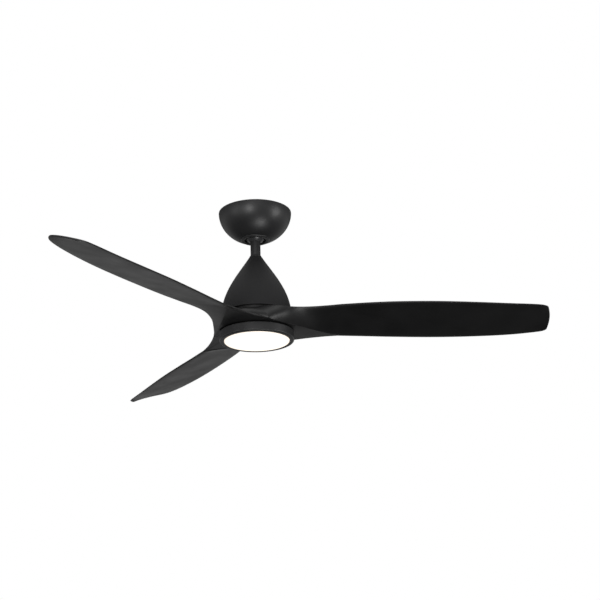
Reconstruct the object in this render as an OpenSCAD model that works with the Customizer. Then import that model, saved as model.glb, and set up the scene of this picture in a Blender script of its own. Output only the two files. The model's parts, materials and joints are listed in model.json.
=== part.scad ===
// Three-blade ceiling fan with an LED light.
// Millimetres, +Z up. The origin is on the fan's axis, in the plane of the ceiling.
// Blade 1 runs along +X. Seen from above the fan turns clockwise.

/* [Overall] */
// Diameter of the circle that the blade tips sweep
sweep_d = 1372; // [1300:1:1440]
// Height from the blade plane up to the ceiling, which sets the length of the downrod
blade_drop = 283; // [275:1:600]

/* [Canopy] */
// Diameter of the canopy at the ceiling
canopy_d = 175; // [168:0.5:186]
// Height of the bowl of the canopy
canopy_h = 70.6; // [69.5:0.1:74]
// Wall of the canopy
canopy_wall = 1.4; // [1:0.1:2]
// Height of the trim ring under the canopy
trim_h = 3.5; // [3:0.1:5]

/* [Hanger] */
// Diameter of the hanger ball
ball_d = 54; // [52:0.5:54]
// Spacing of the two mounting slots in the bracket
slot_spacing = 88.9; // [80:0.1:92]
// Width of each mounting slot
slot_w = 5.5; // [4.5:0.1:6.5]
// Length of each mounting slot
slot_len = 14; // [10:0.5:16]

/* [Downrod] */
// Outer diameter of the downrod
rod_d = 24; // [22:0.5:24]
// Wall of the downrod
rod_wall = 2; // [1.5:0.1:3]

/* [Motor cover] */
// Diameter of the motor cover at its base
cover_d = 164.4; // [160:0.2:166]
// Diameter of the motor cover at its flat top
cover_top_d = 30.6; // [29:0.2:34]
// Wall of the motor cover
cover_wall = 2.4; // [1.8:0.1:3]

/* [Motor] */
// Diameter of the motor shaft
shaft_d = 17; // [16:0.5:17]
// Diameter of the motor's bells
motor_d = 118; // [116:0.5:118]
// Number of stator teeth
teeth = 12; // [9:3:12]
// Number of magnets
magnets_n = 14; // [10:2:16]

/* [Blades] */
// Thickness of a blade at its root
blade_root_t = 10; // [8:0.5:11]
// Thickness of a blade at its tip
blade_tip_t = 4.5; // [4:0.1:6]

/* [Light] */
// Diameter of the light housing
light_d = 175.2; // [174:0.2:180]
// Height of the light housing
light_h = 21; // [20:0.5:23]
// Diameter of the lens
lens_d = 152.4; // [150:0.2:152.4]
// How far the lens bulges below the housing
lens_bulge = 8; // [4:0.5:12]

/* [Hidden] */
$fn = 72;
BLADES = 3;
blade_step = 360 / BLADES;
fit = 0.05;                       // radial clearance of one piece fitted on another
zb = -blade_drop;                 // height of the blade plane

BLACK = "#1d1d1e";
DARK = "#2b2b2c";
STEEL = "#b9bcc0";
ALUMINIUM = "#c9cbce";
COPPER = "#b86a34";
WHITE = "#efe9dc";

// ---------- Derived sizes: canopy and hanger ----------
canopy_r = canopy_d / 2;
canopy_mouth_r = 27;
canopy_floor_r = 35.8;
canopy_bulge = 1.2;               // above 1 flattens the shoulder of the bowl
canopy_floor_z = -(canopy_h - 2.5);
trim_r = 34.6;
canopy_screw_r = 30.5;
plate_t = 2.5;
plate_w = 40;
plate_len = slot_spacing + 22;
leg_x = 36;
leg_w = 30;
ball_r = ball_d / 2;
ball_z = -52;
ball_low = 23.5;                  // the ball is cut off this far below its centre
ball_high = 16;                   // and this far above it
seat_gap = 0.4;
seat_top_z = ball_z - 8;
seat_low_z = canopy_floor_z + canopy_wall + 0.7;
seat_r = 34.5;
seat_opening_r = 20.5;
seat_throat = 27;                 // width of the way in at the back of the seat
key_r = 2.5;
screw_hole_r = 1.65;              // for the screws that hold the canopy
pin_r = 3;                        // the two pins through the downrod
rod_r = rod_d / 2;
rod_top_z = ball_z + 13;
ball_pin_z = ball_z + 4;
receiver = [66, 22, 24];          // length, width and height of the receiver
receiver_y = 53;

// ---------- Derived sizes: motor cover and yoke ----------
cover_r = cover_d / 2;
cover_top_r = cover_top_d / 2;
cover_top_z = zb + 168;
cover_base_z = zb + 23.5;
yoke_r = 17;
yoke_top_z = zb + 150;
yoke_flange_r = 38;
yoke_flange_z = zb + 108;
yoke_flange_t = 4;
rod_end_z = zb + 128;
clevis_z = zb + 139;
shaft_r = shaft_d / 2;
shaft_bore_r = 5;
shaft_top_z = zb + 124;
shaft_low_z = zb - 29;

// ---------- Derived sizes: motor ----------
motor_r = motor_d / 2;
bell_wall = 3;
bell_flange_r = 69;
bell_top_z = zb + 66;
bell_joint_z = zb + 24.5;
bell_low_z = zb - 6;
bell_plate_t = 4;
bell_lip_t = 2;
bell_lip_r = 13;
flange_t = 4;
bearing_r = 20;
bearing_h = 12;
bearing_zs = [zb + 52, zb - 4];   // lower face of each bearing
bearing_mid_r = (bearing_r + shaft_r) / 2;
bearing_ball_r = 3;
boss_r = 25;
stator_r = 49.2;
stator_z = zb + 14;
stator_h = 26;
stator_hub_r = 18;
magnet_r = 50;
magnet_t = 3.4;
tooth_w = 9;
coil_t = 5;

// ---------- Derived sizes: rotor hub and blades ----------
deck_r = 80;
deck_top_z = zb + 20.5;
deck_low_z = zb + 14.5;
barrel_r = 74.5;
barrel_wall = 4;
hub_plate_top_z = zb - 14;
hub_plate_low_z = zb - 18;
hub_plate_r = 92;
post_r = 65.2;
post_n = 6;
tip_r = sweep_d / 2;
root_x = 77;
foot_z = -13.9;                   // underside of a blade's foot, measured from the blade plane
foot_end_x = 185;
lead_corner = 14;
trail_corner = 22;
tip_slant = 5;
blade_screw_x = 82;
blade_screw_ys = [-34, -10, 14];

// ---------- Derived sizes: light ----------
light_r = light_d / 2;
light_top_z = zb - 21;
light_low_z = light_top_z - light_h;
light_wall = 2;
lens_r = lens_d / 2;
lens_wall = 2;
lens_top_z = light_low_z + 6;
light_screw_r = 55;
lug_n = 3;
lug_out = 80.3;
lug_h = 2;
lug_w = 10;
lug_twist = 18;
flange_top_z = lens_top_z - lug_h - 0.3;
tray_z = lens_top_z + 0.7;
tray_t = 1.5;
tray_r = 78;
board_t = 1.6;
board_r = 70;

// ---------- Shapes used by many pieces ----------

// A hollow cylinder between two heights
module tube(r_out, r_in, low, high) {
    difference() {
        translate([0, 0, low]) cylinder(r = r_out, h = high - low);
        translate([0, 0, low - 1]) cylinder(r = r_in, h = high - low + 2);
    }
}

// Copies on a circle
module ring_of(n, r, start = 0) {
    for (i = [0:n - 1]) rotate([0, 0, start + i * 360 / n]) translate([r, 0, 0]) children();
}

// A block whose end face is centred on the origin, along +X
module block(x, y, z) {
    translate([0, -y / 2, -z / 2]) cube([x, y, z]);
}

// A screw along +Z whose head is below the origin
module screw(d, len, head_d, head_h) {
    cylinder(d = d, h = len);
    translate([0, 0, -head_h]) difference() {
        cylinder(d = head_d, h = head_h);
        for (a = [0, 90]) rotate([0, 0, a])
            translate([-head_d * 0.3, -0.4, -1]) cube([head_d * 0.6, 0.8, 1 + head_h * 0.5]);
    }
}

// One cubic curve between two ends with two handles, at t from 0 to 1
function bezier(p, t) = pow(1 - t, 3) * p[0] + 3 * t * pow(1 - t, 2) * p[1]
    + 3 * t * t * (1 - t) * p[2] + pow(t, 3) * p[3];

// ---------- Ceiling mount ----------

module hanger_bracket() {
    color(STEEL) {
        difference() {
            union() {
                translate([-plate_len / 2, -plate_w / 2, -plate_t]) cube([plate_len, plate_w, plate_t]);
                translate([-14, 0, -plate_t]) cube([28, receiver_y + receiver[1] / 2, plate_t]);
            }
            for (s = [-1, 1]) translate([s * slot_spacing / 2, 0, -plate_t - 1]) {
                straight = slot_len - slot_w;
                translate([-straight / 2, -slot_w / 2, 0]) cube([straight, slot_w, plate_t + 2]);
                for (e = [-1, 1]) translate([e * straight / 2, 0, 0])
                    cylinder(d = slot_w, h = plate_t + 2);
            }
            translate([0, 0, -plate_t - 1]) cylinder(r = 11, h = plate_t + 2);
            translate([-24, 13, -plate_t - 1]) cylinder(d = 4.1, h = plate_t + 2);
        }
        for (s = [0, 180]) rotate([0, 0, s])
            translate([leg_x - 2, -leg_w / 2, seat_low_z + 2])
                cube([plate_t, leg_w, -plate_t - seat_low_z - 2]);
        bracket_seat();
        ball_key();
        for (s = [0, 180]) rotate([0, 0, s]) translate([canopy_screw_r, 0, 0])
            tube(screw_hole_r + 2, screw_hole_r, canopy_floor_z + canopy_wall, seat_low_z);
    }
}

// Ring that the hanger ball sits in, open at the back so that the rod can be hooked in
module bracket_seat() {
    difference() {
        translate([0, 0, seat_low_z]) cylinder(r = seat_r, h = seat_top_z - seat_low_z);
        translate([0, 0, ball_z]) sphere(r = ball_r + seat_gap, $fn = 96);
        translate([0, 0, seat_low_z - 1]) cylinder(r = seat_opening_r, h = 12);
        translate([-seat_throat / 2, 0, seat_low_z - 1]) cube([seat_throat, seat_r + 1, 30]);
        for (s = [0, 180]) rotate([0, 0, s]) translate([canopy_screw_r, 0, seat_low_z - 1])
            cylinder(r = screw_hole_r, h = 9);
    }
}

// Upright with a stub pin, which keeps the ball from turning about the rod
module ball_key() {
    translate([-5, -34, seat_low_z + 2]) cube([10, 3.4, ball_z + 5 - seat_low_z - 2]);
    translate([0, -31, ball_z]) rotate([-90, 0, 0]) cylinder(r = key_r, h = 6.5);
}

function canopy_profile(r, h) = [for (i = [0:22]) let (a = i * 90 / 22)
    [canopy_mouth_r - 2.4 + (r - canopy_mouth_r + 2.4) * pow(cos(a), canopy_bulge), -h * sin(a)]];

module canopy() {
    outer = concat([for (p = canopy_profile(canopy_r, canopy_h)) if (p[1] > canopy_floor_z) p],
        [[canopy_floor_r, canopy_floor_z]]);
    inner = concat([for (p = canopy_profile(canopy_r - canopy_wall, canopy_h - canopy_wall))
        if (p[1] > canopy_floor_z + canopy_wall) p], [[canopy_floor_r, canopy_floor_z + canopy_wall]]);
    n = len(inner);
    color(BLACK) difference() {
        rotate_extrude() polygon(concat(
            outer, [[canopy_mouth_r, canopy_floor_z], [canopy_mouth_r, canopy_floor_z + canopy_wall]],
            [for (i = [0:n - 1]) inner[n - 1 - i]]));
        for (s = [0, 180]) rotate([0, 0, s])
            translate([canopy_screw_r, 0, canopy_floor_z - 1]) cylinder(d = 4.4, h = 6);
    }
}

module canopy_screws() {
    color(DARK) for (s = [0, 180]) rotate([0, 0, s])
        translate([canopy_screw_r, 0, canopy_floor_z]) screw(3.2, 9, 6.4, 1.8);
}

module canopy_trim_ring() {
    color(DARK) difference() {
        rotate_extrude() translate([0, canopy_floor_z]) polygon([[canopy_mouth_r - 1, 0], [trim_r, 0],
            [trim_r, 1.6 - trim_h], [trim_r - 1.6, -trim_h],
            [canopy_mouth_r, -trim_h], [canopy_mouth_r - 1, 1 - trim_h]]);
        translate([0, 0, canopy_floor_z - trim_h + 1.55]) difference() {
            cylinder(r = trim_r - 0.8, h = trim_h);
            translate([0, 0, -1]) cylinder(r = canopy_mouth_r + 0.1, h = trim_h + 2);
        }
    }
}

module receiver_case() {
    top = -plate_t;
    low = top - receiver[2];
    color(DARK) difference() {
        translate([-receiver[0] / 2, receiver_y - receiver[1] / 2, low]) cube(receiver);
        translate([-receiver[0] / 2 + 2, receiver_y - receiver[1] / 2 + 2, low - 1])
            cube([receiver[0] - 4, receiver[1] - 4, receiver[2] - 1]);
    }
}

module receiver_cover() {
    low = -plate_t - receiver[2];
    color(BLACK) translate([-receiver[0] / 2, receiver_y - receiver[1] / 2, low - 1.6])
        cube([receiver[0], receiver[1], 1.6]);
}

module wire_connectors() {
    color("#d8a03a") for (i = [-1:1]) translate([i * 13, -50, -8])
        rotate([180, 0, 0]) rotate_extrude() polygon([[0, 0], [5.2, 0], [5.2, 4], [3.4, 17], [0, 18]]);
    color(WHITE) for (i = [-1:1]) translate([i * 13, -50, -8]) cylinder(r = 1.6, h = 7);
}

module ground_screw() {
    color("#3d8a4a") translate([-24, 13, -plate_t]) screw(4, plate_t, 8, 2.4);
}

// ---------- Hanging assembly: ball, rod and yoke ----------

module hanger_ball() {
    color(BLACK) difference() {
        intersection() {
            translate([0, 0, ball_z]) sphere(r = ball_r, $fn = 96);
            translate([-ball_r, -ball_r, ball_z - ball_low])
                cube([2 * ball_r, 2 * ball_r, ball_low + ball_high]);
        }
        translate([0, 0, ball_z - ball_r]) cylinder(r = rod_r + fit, h = 2 * ball_r);
        rotate([0, 90, 0]) translate([-ball_pin_z, 0, -ball_r])
            cylinder(r = pin_r + fit, h = 2 * ball_r);
        translate([0, -ball_r - 1, ball_z]) rotate([-90, 0, 0]) cylinder(r = key_r + 0.4, h = 5);
        translate([-key_r - 0.4, -ball_r - 1, ball_z]) cube([2 * key_r + 0.8, 5, ball_r]);
        translate([0, 0, ball_z - 5]) rotate([-90, 0, 0]) cylinder(r = 2.05, h = ball_r);
    }
}

module ball_cross_pin() {
    color(STEEL) rotate([0, 90, 0]) translate([-ball_pin_z, 0, -ball_r + 3])
        cylinder(r = pin_r, h = 2 * ball_r - 6);
}

module ball_set_screw() {
    color(STEEL) translate([0, rod_r + fit, ball_z - 5]) rotate([-90, 0, 0]) difference() {
        cylinder(r = 2, h = 9);
        translate([0, 0, 6]) cylinder(r = 1.2, h = 4, $fn = 6);
    }
}

module downrod() {
    color(BLACK) difference() {
        tube(rod_r, rod_r - rod_wall, rod_end_z, rod_top_z);
        for (z = [ball_pin_z, clevis_z]) rotate([0, 90, 0]) translate([-z, 0, -rod_r - 1])
            cylinder(r = pin_r + fit, h = 2 * rod_r + 2);
    }
}

// Bundle of leads held inside the rod, which passes beside the two pins
module rod_leads() {
    color(WHITE) for (i = [-1:1]) translate([i * 3.1, 5.6, rod_end_z + 2])
        cylinder(r = 1.4, h = rod_top_z - rod_end_z + 2);
}

module neck_collar() {
    color(DARK) rotate_extrude() polygon([[rod_r + fit, cover_top_z], [cover_top_r - 0.4, cover_top_z],
        [cover_top_r - 1.4, cover_top_z + 3], [rod_r + 1, cover_top_z + 4], [rod_r + fit, cover_top_z + 4]]);
}

module motor_yoke() {
    color(STEEL) difference() {
        union() {
            translate([0, 0, yoke_flange_z]) cylinder(r = yoke_r, h = yoke_top_z - yoke_flange_z);
            translate([0, 0, yoke_flange_z]) cylinder(r = yoke_flange_r, h = yoke_flange_t);
        }
        translate([0, 0, rod_end_z - 0.5]) cylinder(r = rod_r + fit, h = 60);
        translate([0, 0, yoke_flange_z - 1]) cylinder(r = shaft_r + fit, h = 60);
        rotate([0, 90, 0]) translate([-clevis_z, 0, -yoke_r - 1])
            cylinder(r = pin_r + fit, h = 2 * yoke_r + 2);
        for (s = [0, 180]) rotate([0, 0, s]) translate([0, 0, yoke_top_z - 5]) rotate([-90, 0, 0])
            cylinder(r = 2.55, h = yoke_r + 1);
        ring_of(3, 31, 30) translate([0, 0, yoke_flange_z - 1]) cylinder(d = 4.4, h = 8);
    }
}

module clevis_pin() {
    color(STEEL) rotate([0, 90, 0]) translate([-clevis_z, 0, 0]) difference() {
        union() {
            translate([0, 0, -yoke_r - 1]) cylinder(r = pin_r, h = 2 * yoke_r + 7);
            translate([0, 0, -yoke_r - 3.2]) cylinder(r = 4.6, h = 3.1);
        }
        translate([-10, 0, yoke_r + 3.4]) rotate([0, 90, 0]) cylinder(r = 0.85, h = 20);
    }
}

module cotter_pin() {
    color(STEEL) translate([yoke_r + 3.4, 0, clevis_z]) {
        translate([0, 0, -7]) cylinder(r = 0.8, h = 14);
        translate([0, 0, 9.2]) rotate([90, 0, 0]) rotate_extrude() translate([2.4, 0]) circle(r = 0.8);
    }
}

module yoke_set_screws() {
    color(DARK) for (s = [0, 180]) rotate([0, 0, s]) translate([0, rod_r + fit, yoke_top_z - 5])
        rotate([-90, 0, 0]) difference() {
            cylinder(r = 2.5, h = 6);
            translate([0, 0, 3.5]) cylinder(r = 1.5, h = 4, $fn = 6);
        }
}

// Handles of the ogive from the flat top to the upright base
cover_curve = [[cover_top_r, cover_top_z], [cover_top_r + 24.2, cover_top_z - 40],
    [cover_r + 0.3, cover_base_z + 54.5], [cover_r, cover_base_z]];

module motor_cover() {
    steps = 20;
    outer = [for (i = [0:steps]) bezier(cover_curve, i / steps)];
    inner = [for (i = [steps:-1:1]) bezier(cover_curve, i / steps) - [cover_wall, 0]];
    ledge_z = yoke_flange_z + yoke_flange_t;
    color(BLACK) {
        rotate_extrude() polygon(concat([[rod_r + 0.9, cover_top_z]], outer, inner,
            [[rod_r + 0.9, cover_top_z - 2]]));
        difference() {
            tube(51.5, 22, ledge_z, ledge_z + 2);
            ring_of(3, 31, 30) translate([0, 0, ledge_z - 1]) cylinder(d = 4.4, h = 4);
        }
    }
}

module cover_screws() {
    color(STEEL) ring_of(3, 31, 30) translate([0, 0, yoke_flange_z + yoke_flange_t + 2])
        rotate([180, 0, 0]) screw(4, 10, 7.5, 2.4);
}

// ---------- Hanging assembly: inside the motor ----------

module motor_shaft() {
    color(STEEL) tube(shaft_r, shaft_bore_r, shaft_low_z, shaft_top_z);
}

module stator_core() {
    color("#8d8f92") difference() {
        union() {
            tube(stator_hub_r + 5, shaft_r + fit, stator_z, stator_z + stator_h);
            for (i = [0:teeth - 1]) rotate([0, 0, i * 360 / teeth]) {
                translate([stator_hub_r + 3, -tooth_w / 4, stator_z])
                    cube([stator_r - stator_hub_r - 5, tooth_w / 2, stator_h]);
                rotate([0, 0, -360 / teeth * 0.4]) rotate_extrude(angle = 360 / teeth * 0.8)
                    translate([stator_r - 3, stator_z]) square([3, stator_h]);
            }
        }
        ring_of(3, 14, 45) translate([0, 0, stator_z - 1]) cylinder(d = 3, h = stator_h + 2);
    }
}

module stator_windings() {
    color(COPPER) for (i = [0:teeth - 1]) rotate([0, 0, i * 360 / teeth])
        translate([27.5, 0, stator_z + stator_h / 2]) difference() {
            block(17, tooth_w / 2 + 4.4, stator_h + 2 * coil_t);
            translate([-1, 0, 0]) block(19, tooth_w / 2 + 0.4, stator_h + 0.4);
        }
}

module spacer_sleeves() {
    color(ALUMINIUM) {
        tube(11.4, shaft_r + fit, stator_z + stator_h, bearing_zs[0]);
        tube(11.4, shaft_r + fit, bearing_zs[1] + bearing_h, stator_z);
    }
}

// Ring-shaped board above the coils, which switches them
module controller_board() {
    z = stator_z + stator_h + coil_t + 0.5;
    color("#1f6b3a") difference() {
        tube(46, 27, z, z + board_t);
        ring_of(3, 42, 0) translate([0, 0, z - 1]) cylinder(d = 3, h = 4);
    }
    color(DARK) ring_of(6, 36, 30) translate([-3, -3, z + board_t]) cube([6, 6, 1]);
}

module race(r_in, r_out, z) {
    rotate_extrude() difference() {
        translate([r_in, z]) square([r_out - r_in, bearing_h]);
        translate([bearing_mid_r, z + bearing_h / 2]) circle(r = bearing_ball_r + 0.3);
    }
}

module bearing_inner_races() {
    color(STEEL) for (z = bearing_zs) race(shaft_r + fit, 11.8, z);
}

module bearing_outer_races() {
    color(STEEL) for (z = bearing_zs) race(16.8, bearing_r - fit, z);
}

module bearing_balls() {
    color("#e0e2e5") for (z = bearing_zs)
        ring_of(9, bearing_mid_r) translate([0, 0, z + bearing_h / 2]) sphere(r = bearing_ball_r, $fn = 32);
}

module retaining_rings() {
    color(DARK) for (z = [bearing_zs[0] + bearing_h, bearing_zs[1] - 1.2]) difference() {
        tube(11.4, shaft_r + fit, z, z + 1.2);
        translate([5, -1.5, z - 1]) cube([10, 3, 4]);
    }
}

// ---------- Rotor: motor bells ----------

module bell(plate_z, joint_z, up) {
    low = min(plate_z, joint_z);
    high = max(plate_z, joint_z);
    flange_low = up ? joint_z : joint_z - flange_t;
    plate_low = up ? plate_z - bell_plate_t : plate_z;
    lip_low = up ? plate_z - bell_lip_t : plate_z;
    seat_z = up ? bearing_zs[0] : bearing_zs[1];
    difference() {
        union() {
            tube(motor_r, motor_r - bell_wall, low, high);
            tube(bell_flange_r, motor_r - bell_wall, flange_low, flange_low + flange_t);
            tube(motor_r - 1, bearing_r, plate_low, plate_low + bell_plate_t);
            tube(boss_r, bearing_r, seat_z, seat_z + bearing_h);
            tube(boss_r, bell_lip_r, lip_low, lip_low + bell_lip_t);
        }
        ring_of(post_n, post_r) translate([0, 0, flange_low - 1]) cylinder(d = 4.4, h = flange_t + 2);
        ring_of(6, 42, 30) translate([0, 0, plate_low - 1]) cylinder(r = 6, h = bell_plate_t + 2);
    }
}

module upper_bell() {
    color(ALUMINIUM) bell(bell_top_z, bell_joint_z, true);
}

module lower_bell() {
    color(ALUMINIUM) bell(bell_low_z, bell_joint_z, false);
}

module bell_screws() {
    color(STEEL) ring_of(post_n, post_r) translate([0, 0, bell_joint_z + flange_t])
        rotate([180, 0, 0]) screw(4, 22, 7, 2.6);
}

module flux_ring() {
    color("#77797c")
        tube(motor_r - bell_wall - fit, magnet_r + magnet_t + fit, stator_z - 4, stator_z + stator_h + 4);
}

module magnets() {
    color("#4a4b4d") for (i = [0:magnets_n - 1]) rotate([0, 0, i * 360 / magnets_n])
        rotate_extrude(angle = 360 / magnets_n * 0.88)
            translate([magnet_r, stator_z - 2]) square([magnet_t, stator_h + 4]);
}

// ---------- Rotor: hub and blades ----------

module rotor_hub() {
    color(BLACK) difference() {
        union() {
            tube(deck_r, motor_r + 0.5, deck_low_z, deck_top_z);
            tube(barrel_r, barrel_r - barrel_wall, hub_plate_top_z, deck_low_z + 1);
            ring_of(post_n, post_r) translate([0, 0, hub_plate_top_z])
                cylinder(r = 4.4, h = deck_low_z - hub_plate_top_z + 1);
            for (k = [0:BLADES - 1]) rotate([0, 0, k * blade_step + 43]) hub_fairing();
        }
        ring_of(post_n, post_r) translate([0, 0, hub_plate_top_z - 1]) cylinder(d = 4.1, h = 50);
    }
}

// Sloped wall that closes the hub between two blade roots
module hub_fairing() {
    foot_r = hub_plate_r - 0.5;
    rotate_extrude(angle = 26) polygon([[deck_r - 6, deck_low_z + 1], [deck_r, deck_low_z + 1],
        [foot_r, hub_plate_top_z], [foot_r - 4, hub_plate_top_z], [deck_r - 6, deck_low_z - 4]]);
}

// Plan of one arm of the hub plate, under blade 1
arm_outline = [[0, -40], [60, -69], [107, -32], [140, -2], [154, 14], [158, 30], [152, 38],
    [138, 41], [117, 47], [100, 53], [85, 60], [0, 60]];

module hub_plate() {
    color(BLACK) difference() {
        translate([0, 0, hub_plate_low_z]) linear_extrude(hub_plate_top_z - hub_plate_low_z) difference() {
            union() {
                circle(r = hub_plate_r);
                for (k = [0:BLADES - 1]) rotate(k * blade_step) polygon(arm_outline);
            }
            circle(r = 27);
        }
        ring_of(post_n, post_r) translate([0, 0, hub_plate_low_z - 1]) cylinder(d = 4.4, h = 8);
        ring_of(post_n, post_r) translate([0, 0, hub_plate_low_z - 1]) cylinder(d = 7.4, h = 3.4);
        for (k = [0:BLADES - 1], y = blade_screw_ys) rotate([0, 0, k * blade_step])
            translate([blade_screw_x, y, hub_plate_low_z - 1]) {
                cylinder(d = 4.2, h = 8);
                cylinder(d = 7.4, h = 3.4);
            }
    }
}

module hub_screws() {
    color(STEEL) ring_of(post_n, post_r) translate([0, 0, hub_plate_low_z + 2.4]) screw(4, 18, 7, 2.2);
}

// The blade's edges by share of the tip radius: distance from the blade's axis, then height
lead_y = [[0.11, 75.5], [0.16, 73], [0.29, 88], [0.47, 102], [0.64, 107], [0.82, 101], [1, 86]];
trail_y = [[0.11, 64], [0.146, 53], [0.17, 47], [0.2, 41.5], [0.29, 40], [0.47, 42], [0.64, 40],
    [0.82, 29], [1, 12]];
lead_z = [[0.11, 19.5], [0.16, 18.5], [0.29, 17.5], [0.47, 17], [0.64, 14], [0.82, 10.2], [1, 9]];
trail_z = [[0.11, -12.8], [0.22, -12.8], [0.28, -17.4], [0.47, -22.8], [0.64, -26], [0.82, -27.2], [1, -22]];

function station(tab, x, i = 0) = i >= len(tab) - 2 || x < tab[i + 1][0] ? i : station(tab, x, i + 1);
function slope(tab, i) = let (a = max(i - 1, 0), b = min(i + 1, len(tab) - 1))
    (tab[b][1] - tab[a][1]) / (tab[b][0] - tab[a][0]);
// Smooth curve through a table's points
function curve(tab, x) = let (i = station(tab, x), w = tab[i + 1][0] - tab[i][0], t = (x - tab[i][0]) / w)
    (2 * pow(t, 3) - 3 * t * t + 1) * tab[i][1] + (pow(t, 3) - 2 * t * t + t) * w * slope(tab, i)
    + (3 * t * t - 2 * pow(t, 3)) * tab[i + 1][1] + (pow(t, 3) - t * t) * w * slope(tab, i + 1);

function corner(x, r) = x > tip_r - r ? r - sqrt(max(0, r * r - pow(x - tip_r + r, 2))) : 0;
// Front edge of the foot, which runs on into the trailing edge
function foot_edge(x) = -69 + (x - 60) * 0.86;
function half_thickness(w) = 0.12 + 0.88 * pow(sin(180 * pow(w, 0.8)), 0.7);

function blade_point(x, w, top) = let (
    f = x / tip_r,
    lead = [-curve(lead_y, f) + corner(x, lead_corner), curve(lead_z, f)],
    trail = [curve(trail_y, f) - corner(x, trail_corner), curve(trail_z, f)],
    y = lead[0] + (trail[0] - lead[0]) * w,
    z = lead[1] + (trail[1] - lead[1]) * w,
    t = half_thickness(w) * (blade_root_t + (blade_tip_t - blade_root_t) * f) / 2,
    edge = foot_edge(x),
    foot = y > edge ? foot_z : lead[1] + (foot_z - lead[1]) * (y - lead[0]) / (edge - lead[0]),
    low = x < foot_end_x && w > 0 ? min(z - t, foot + 0.1) : z - t)
    [x - tip_slant * (1 - w) * pow(f, 12), y, zb + (top ? z + t : low)];

blade_chord = [for (i = [0:10]) i / 10];
blade_xs = concat([for (i = [0:8]) root_x + i * (foot_end_x - root_x) / 8],
    [for (i = [1:13]) foot_end_x + i * (tip_r - 30 - foot_end_x) / 13],
    [for (i = [1:7]) tip_r - 30 + 30 * sin(i * 90 / 7)]);

// A solid lofted through rings of points that all have the same count
module loft(rings) {
    m = len(rings[0]);
    n = len(rings);
    polyhedron(points = [for (r = rings) each r], faces = concat(
        [[for (j = [0:m - 1]) j]], [[for (j = [m - 1:-1:0]) (n - 1) * m + j]],
        [for (i = [0:n - 2], j = [0:m - 1]) let (k = (j + 1) % m)
            each [[i * m + j, (i + 1) * m + k, i * m + k], [i * m + j, (i + 1) * m + j, (i + 1) * m + k]]]),
        convexity = 6);
}

module blade(k) {
    color(BLACK) rotate([0, 0, k * blade_step]) loft([for (x = blade_xs) concat(
        [for (w = blade_chord) blade_point(x, w, false)],
        [for (i = [len(blade_chord) - 1:-1:0]) blade_point(x, blade_chord[i], true)])]);
}

module blade_screws() {
    color(STEEL) for (k = [0:BLADES - 1], y = blade_screw_ys) rotate([0, 0, k * blade_step])
        translate([blade_screw_x, y, hub_plate_low_z + 2.4]) screw(4, 11, 7, 2.2);
}

// ---------- Light ----------

module light_plate() {
    color(STEEL) difference() {
        tube(60, shaft_r + fit, light_top_z, light_top_z + 1.5);
        ring_of(3, light_screw_r, 60) translate([0, 0, light_top_z - 1]) cylinder(d = 3.3, h = 4);
    }
}

module shaft_nut() {
    color(STEEL) difference() {
        translate([0, 0, light_top_z - 6]) cylinder(r = 13.2, h = 6, $fn = 6);
        translate([0, 0, light_top_z - 7]) cylinder(r = shaft_r + fit, h = 8);
    }
}

module light_housing() {
    top = light_top_z;
    low = light_low_z;
    round_r = 3.5;
    color(DARK) difference() {
        union() {
            rotate_extrude() polygon(concat(
                [[15, top], [light_r, top]],
                [for (a = [0:15:90])
                    [light_r - round_r + round_r * cos(a), low + round_r - round_r * sin(a)]],
                [[lens_r + 0.9, low], [lens_r + 0.9, flange_top_z]],
                [[light_r - light_wall, flange_top_z], [light_r - light_wall, top - light_wall]],
                [[15, top - light_wall]]));
            ring_of(3, 66, 0) tube(3.5, 1.3, tray_z + tray_t, top - light_wall);
        }
        ring_of(3, light_screw_r, 60) translate([0, 0, top - 4]) cylinder(d = 3.3, h = 6);
        for (i = [0:lug_n - 1]) rotate([0, 0, i * 360 / lug_n + lug_twist])
            translate([lens_r - 2, -lug_w / 2 - 0.5, low - 1])
                cube([lug_out - lens_r + 2.6, lug_w + 1, light_h / 2]);
    }
}

module light_screws() {
    color(STEEL) ring_of(3, light_screw_r, 60) translate([0, 0, light_top_z - light_wall])
        screw(3.2, 3.5, 6, 1.8);
}

module led_drivers() {
    color(WHITE) for (s = [0, 180]) rotate([0, 0, s])
        translate([-28, 22, light_top_z - light_wall - 8.4]) cube([56, 22, 8.4]);
}

module led_tray() {
    color(ALUMINIUM) difference() {
        translate([0, 0, tray_z]) cylinder(r = tray_r, h = tray_t);
        ring_of(3, 66, 0) translate([0, 0, tray_z - 1]) cylinder(d = 2.8, h = 4);
        translate([0, 0, tray_z - 1]) cylinder(r = 5, h = 4);
    }
}

module tray_screws() {
    color(STEEL) ring_of(3, 66, 0) translate([0, 0, tray_z - board_t]) screw(2.5, 6, 5, 1.2);
}

module led_board() {
    color(WHITE) difference() {
        tube(board_r, 12, tray_z - board_t, tray_z);
        ring_of(3, 66, 0) translate([0, 0, tray_z - board_t - 1]) cylinder(d = 2.8, h = 4);
    }
}

module led_chips() {
    color("#f5d76a") for (row = [[24, 8], [40, 14], [56, 20]])
        ring_of(row[1], row[0]) translate([-1.75, -1.4, tray_z - board_t - 0.8]) cube([3.5, 2.8, 0.8]);
}

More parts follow.
